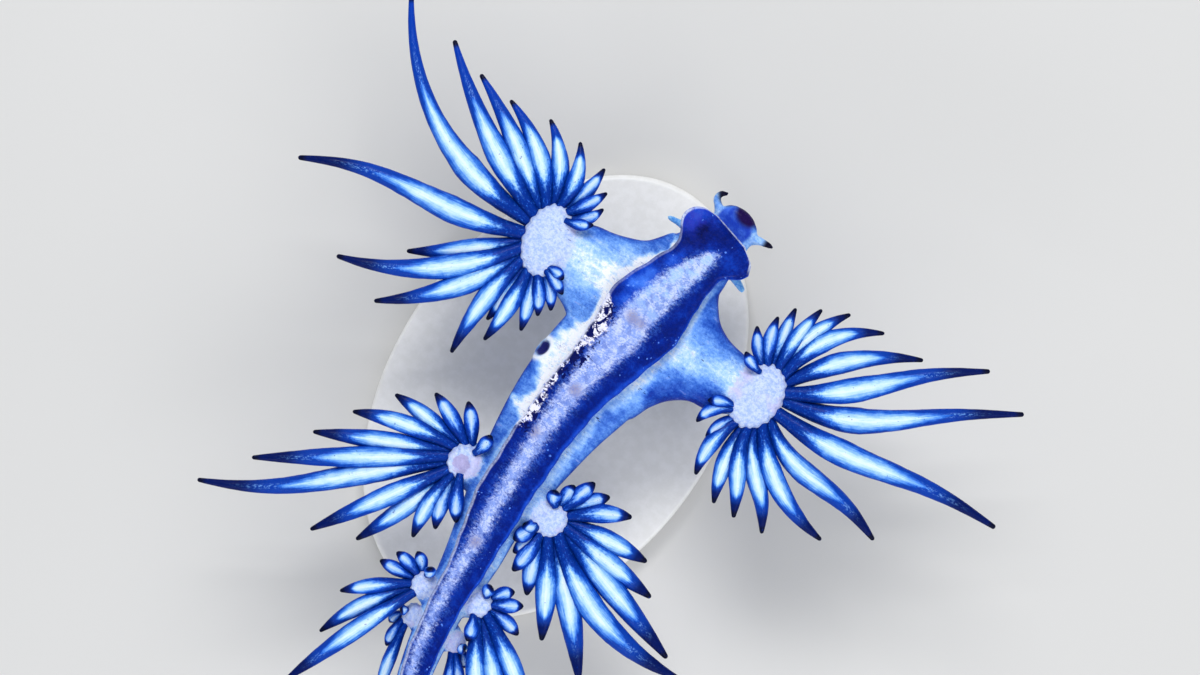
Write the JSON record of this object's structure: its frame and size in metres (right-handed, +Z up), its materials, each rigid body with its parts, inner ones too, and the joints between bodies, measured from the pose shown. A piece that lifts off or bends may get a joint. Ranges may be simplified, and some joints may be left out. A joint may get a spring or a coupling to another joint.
{
  "type": "blue dragon sea slug",
  "caption": "Still life-size blue dragon sea slug floating belly up, with webbed arms and fans of long tapered cerata, held on a plain oval stand.",
  "frame": {"origin": "centre of the stand base's length line at its underside, under the middle of the body", "axes": "+Z up, the way the belly and foot face; +Y towards the head; +X towards the animal's own left side"},
  "size_m": [0.0393, 0.0392, 0.0102],
  "materials": {
    "flank_skin": "wet skin, pale sky blue with a soft gloss",
    "foot_sole": "wet skin, deep blue with a pale mottled stripe",
    "ceras_skin": "wet skin, blue with a silvery stripe and near-black tips",
    "stand_base": "satin",
    "stand_rod": "satin"
  },
  "bodies": {
    "root": {"torso_front": "flank_skin", "torso_middle": "flank_skin", "torso_rear": "flank_skin", "arm_right": "flank_skin", "arm_left": "flank_skin", "tail": "flank_skin", "head": "flank_skin", "oral_tentacle_right": "flank_skin", "oral_tentacle_left": "flank_skin", "rhinophore_right": "flank_skin", "rhinophore_left": "flank_skin", "foot_front": "foot_sole", "foot_middle": "foot_sole", "foot_rear": "foot_sole", "cerata_right_front_fore": "ceras_skin", "cerata_right_front_aft": "ceras_skin", "cerata_left_front_fore": "ceras_skin", "cerata_left_front_aft": "ceras_skin", "cerata_right_middle_fore": "ceras_skin", "cerata_right_middle_aft": "ceras_skin", "cerata_left_middle_fore": "ceras_skin", "cerata_left_middle_aft": "ceras_skin", "cerata_right_rear": "ceras_skin", "cerata_left_rear": "ceras_skin", "cerata_right_tail": "ceras_skin", "cerata_left_tail": "ceras_skin", "stand_base": "stand_base", "stand_rod_front": "stand_rod", "stand_rod_rear": "stand_rod"}
  },
  "joints": []
}
